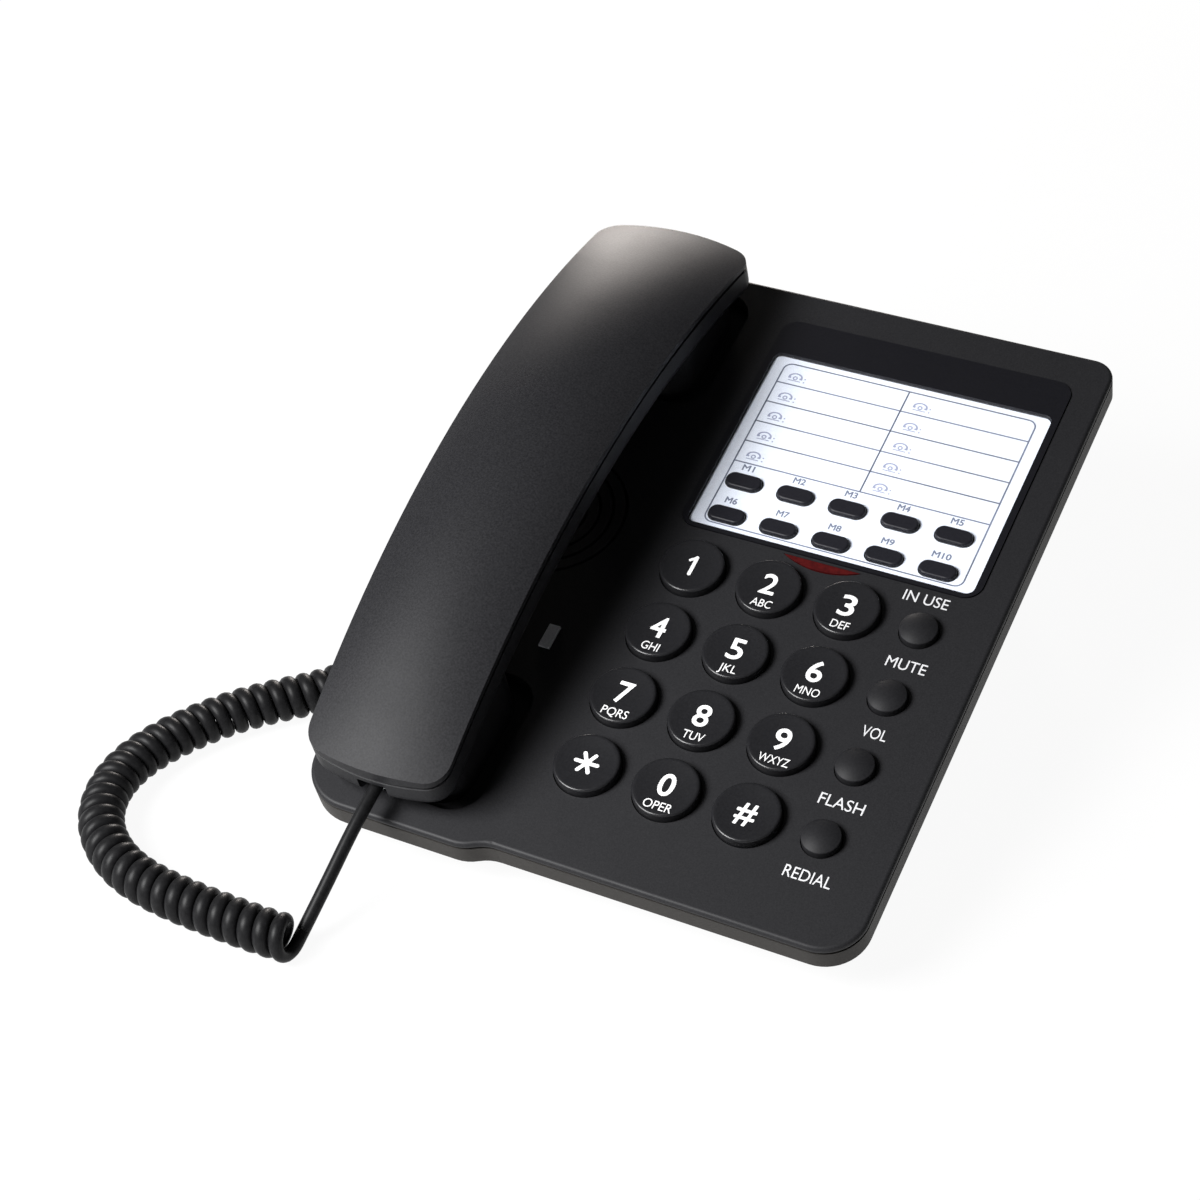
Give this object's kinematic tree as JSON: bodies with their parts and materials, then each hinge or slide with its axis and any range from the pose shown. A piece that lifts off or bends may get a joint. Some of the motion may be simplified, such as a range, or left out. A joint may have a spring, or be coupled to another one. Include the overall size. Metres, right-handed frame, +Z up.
{
  "type": "corded desk telephone",
  "caption": "Sloping desk telephone with a lift-off arched handset, curly cord, round dial keys, name card with memory keys and function keys.",
  "frame": {"origin": "on the table under the middle of the telephone, cord left out", "axes": "+X to the right of the user, +Y from the user to the back, +Z up"},
  "size_m": [0.2103, 0.2385, 0.0896],
  "materials": {
    "charcoal_plastic": "fine spark texture",
    "key_plastic": "satin",
    "bezel_plastic": "satin",
    "black_plastic": "satin",
    "grey_plastic": "satin",
    "card": "printed card",
    "clear": "clear plastic",
    "red_lens": "translucent red",
    "rubber": "matt",
    "board": "solder resist",
    "steel": "plated",
    "cord": "smooth vinyl"
  },
  "bodies": {
    "base": {"top_housing": "charcoal_plastic", "bottom_housing": "charcoal_plastic", "index_frame": "bezel_plastic", "index_card": "card", "index_window": "clear", "lamp_lens": "red_lens", "lamp_led": "red_lens", "keypad_mat": "rubber", "main_board": "board", "ringer_speaker": "steel", "hook_switch": "black_plastic", "hanger_tab": "grey_plastic", "handset_jack": "black_plastic", "line_jack": "black_plastic", "base_weight": "steel", "rubber_feet": "rubber", "housing_screws": "steel", "board_screws": "steel", "base_plug": "clear", "cord_coil": "cord", "cord_tail": "cord"},
    "handset": {"handset_upper_shell": "charcoal_plastic", "handset_lower_shell": "charcoal_plastic", "receiver_capsule": "black_plastic", "microphone": "steel", "handset_weight": "steel", "handset_socket": "black_plastic", "handset_screws": "steel", "handset_plug": "clear"},
    "hook_plunger": {"hook_plunger": "black_plastic"},
    "key_1": {"key_1": "key_plastic"},
    "key_2": {"key_2": "key_plastic"},
    "key_3": {"key_3": "key_plastic"},
    "key_4": {"key_4": "key_plastic"},
    "key_5": {"key_5": "key_plastic"},
    "key_6": {"key_6": "key_plastic"},
    "key_7": {"key_7": "key_plastic"},
    "key_8": {"key_8": "key_plastic"},
    "key_9": {"key_9": "key_plastic"},
    "key_star": {"key_star": "key_plastic"},
    "key_0": {"key_0": "key_plastic"},
    "key_hash": {"key_hash": "key_plastic"},
    "key_mute": {"key_mute": "key_plastic"},
    "key_volume": {"key_volume": "key_plastic"},
    "key_flash": {"key_flash": "key_plastic"},
    "key_redial": {"key_redial": "key_plastic"},
    "memory_key_1": {"memory_key_1": "key_plastic"},
    "memory_key_2": {"memory_key_2": "key_plastic"},
    "memory_key_3": {"memory_key_3": "key_plastic"},
    "memory_key_4": {"memory_key_4": "key_plastic"},
    "memory_key_5": {"memory_key_5": "key_plastic"},
    "memory_key_6": {"memory_key_6": "key_plastic"},
    "memory_key_7": {"memory_key_7": "key_plastic"},
    "memory_key_8": {"memory_key_8": "key_plastic"},
    "memory_key_9": {"memory_key_9": "key_plastic"},
    "memory_key_10": {"memory_key_10": "key_plastic"}
  },
  "joints": [
    {"name": "handset_lift", "type": "slide", "parent": "base", "child": "handset", "axis": [0, -0.2756, 0.9613], "range_m": [0, 0.08], "deforming": ["cord_tail"]},
    {"name": "hook_rise", "type": "slide", "parent": "base", "child": "hook_plunger", "axis": [0, -0.2756, 0.9613], "range_m": [0, 0.005]},
    {"name": "key_1_press", "type": "slide", "parent": "base", "child": "key_1", "axis": [0, -0.2756, 0.9613], "range_m": [-0.0015, 0], "stiffness_N_per_m": 400, "springref_m": 0.0005, "deforming": ["keypad_mat"]},
    {"name": "key_2_press", "type": "slide", "parent": "base", "child": "key_2", "axis": [0, -0.2756, 0.9613], "range_m": [-0.0015, 0], "stiffness_N_per_m": 400, "springref_m": 0.0005, "deforming": ["keypad_mat"]},
    {"name": "key_3_press", "type": "slide", "parent": "base", "child": "key_3", "axis": [0, -0.2756, 0.9613], "range_m": [-0.0015, 0], "stiffness_N_per_m": 400, "springref_m": 0.0005, "deforming": ["keypad_mat"]},
    {"name": "key_4_press", "type": "slide", "parent": "base", "child": "key_4", "axis": [0, -0.2756, 0.9613], "range_m": [-0.0015, 0], "stiffness_N_per_m": 400, "springref_m": 0.0005, "deforming": ["keypad_mat"]},
    {"name": "key_5_press", "type": "slide", "parent": "base", "child": "key_5", "axis": [0, -0.2756, 0.9613], "range_m": [-0.0015, 0], "stiffness_N_per_m": 400, "springref_m": 0.0005, "deforming": ["keypad_mat"]},
    {"name": "key_6_press", "type": "slide", "parent": "base", "child": "key_6", "axis": [0, -0.2756, 0.9613], "range_m": [-0.0015, 0], "stiffness_N_per_m": 400, "springref_m": 0.0005, "deforming": ["keypad_mat"]},
    {"name": "key_7_press", "type": "slide", "parent": "base", "child": "key_7", "axis": [0, -0.2756, 0.9613], "range_m": [-0.0015, 0], "stiffness_N_per_m": 400, "springref_m": 0.0005, "deforming": ["keypad_mat"]},
    {"name": "key_8_press", "type": "slide", "parent": "base", "child": "key_8", "axis": [0, -0.2756, 0.9613], "range_m": [-0.0015, 0], "stiffness_N_per_m": 400, "springref_m": 0.0005, "deforming": ["keypad_mat"]},
    {"name": "key_9_press", "type": "slide", "parent": "base", "child": "key_9", "axis": [0, -0.2756, 0.9613], "range_m": [-0.0015, 0], "stiffness_N_per_m": 400, "springref_m": 0.0005, "deforming": ["keypad_mat"]},
    {"name": "key_star_press", "type": "slide", "parent": "base", "child": "key_star", "axis": [0, -0.2756, 0.9613], "range_m": [-0.0015, 0], "stiffness_N_per_m": 400, "springref_m": 0.0005, "deforming": ["keypad_mat"]},
    {"name": "key_0_press", "type": "slide", "parent": "base", "child": "key_0", "axis": [0, -0.2756, 0.9613], "range_m": [-0.0015, 0], "stiffness_N_per_m": 400, "springref_m": 0.0005, "deforming": ["keypad_mat"]},
    {"name": "key_hash_press", "type": "slide", "parent": "base", "child": "key_hash", "axis": [0, -0.2756, 0.9613], "range_m": [-0.0015, 0], "stiffness_N_per_m": 400, "springref_m": 0.0005, "deforming": ["keypad_mat"]},
    {"name": "key_mute_press", "type": "slide", "parent": "base", "child": "key_mute", "axis": [0, -0.2756, 0.9613], "range_m": [-0.0015, 0], "stiffness_N_per_m": 400, "springref_m": 0.0005, "deforming": ["keypad_mat"]},
    {"name": "key_volume_press", "type": "slide", "parent": "base", "child": "key_volume", "axis": [0, -0.2756, 0.9613], "range_m": [-0.0015, 0], "stiffness_N_per_m": 400, "springref_m": 0.0005, "deforming": ["keypad_mat"]},
    {"name": "key_flash_press", "type": "slide", "parent": "base", "child": "key_flash", "axis": [0, -0.2756, 0.9613], "range_m": [-0.0015, 0], "stiffness_N_per_m": 400, "springref_m": 0.0005, "deforming": ["keypad_mat"]},
    {"name": "key_redial_press", "type": "slide", "parent": "base", "child": "key_redial", "axis": [0, -0.2756, 0.9613], "range_m": [-0.0015, 0], "stiffness_N_per_m": 400, "springref_m": 0.0005, "deforming": ["keypad_mat"]},
    {"name": "memory_key_1_press", "type": "slide", "parent": "base", "child": "memory_key_1", "axis": [0, -0.2756, 0.9613], "range_m": [-0.0015, 0], "stiffness_N_per_m": 400, "springref_m": 0.0005, "deforming": ["keypad_mat"]},
    {"name": "memory_key_2_press", "type": "slide", "parent": "base", "child": "memory_key_2", "axis": [0, -0.2756, 0.9613], "range_m": [-0.0015, 0], "stiffness_N_per_m": 400, "springref_m": 0.0005, "deforming": ["keypad_mat"]},
    {"name": "memory_key_3_press", "type": "slide", "parent": "base", "child": "memory_key_3", "axis": [0, -0.2756, 0.9613], "range_m": [-0.0015, 0], "stiffness_N_per_m": 400, "springref_m": 0.0005, "deforming": ["keypad_mat"]},
    {"name": "memory_key_4_press", "type": "slide", "parent": "base", "child": "memory_key_4", "axis": [0, -0.2756, 0.9613], "range_m": [-0.0015, 0], "stiffness_N_per_m": 400, "springref_m": 0.0005, "deforming": ["keypad_mat"]},
    {"name": "memory_key_5_press", "type": "slide", "parent": "base", "child": "memory_key_5", "axis": [0, -0.2756, 0.9613], "range_m": [-0.0015, 0], "stiffness_N_per_m": 400, "springref_m": 0.0005, "deforming": ["keypad_mat"]},
    {"name": "memory_key_6_press", "type": "slide", "parent": "base", "child": "memory_key_6", "axis": [0, -0.2756, 0.9613], "range_m": [-0.0015, 0], "stiffness_N_per_m": 400, "springref_m": 0.0005, "deforming": ["keypad_mat"]},
    {"name": "memory_key_7_press", "type": "slide", "parent": "base", "child": "memory_key_7", "axis": [0, -0.2756, 0.9613], "range_m": [-0.0015, 0], "stiffness_N_per_m": 400, "springref_m": 0.0005, "deforming": ["keypad_mat"]},
    {"name": "memory_key_8_press", "type": "slide", "parent": "base", "child": "memory_key_8", "axis": [0, -0.2756, 0.9613], "range_m": [-0.0015, 0], "stiffness_N_per_m": 400, "springref_m": 0.0005, "deforming": ["keypad_mat"]},
    {"name": "memory_key_9_press", "type": "slide", "parent": "base", "child": "memory_key_9", "axis": [0, -0.2756, 0.9613], "range_m": [-0.0015, 0], "stiffness_N_per_m": 400, "springref_m": 0.0005, "deforming": ["keypad_mat"]},
    {"name": "memory_key_10_press", "type": "slide", "parent": "base", "child": "memory_key_10", "axis": [0, -0.2756, 0.9613], "range_m": [-0.0015, 0], "stiffness_N_per_m": 400, "springref_m": 0.0005, "deforming": ["keypad_mat"]}
  ],
  "couplings": [
    {"joint": "hook_rise", "follows": "handset_lift", "ratio": 0.0625}
  ]
}
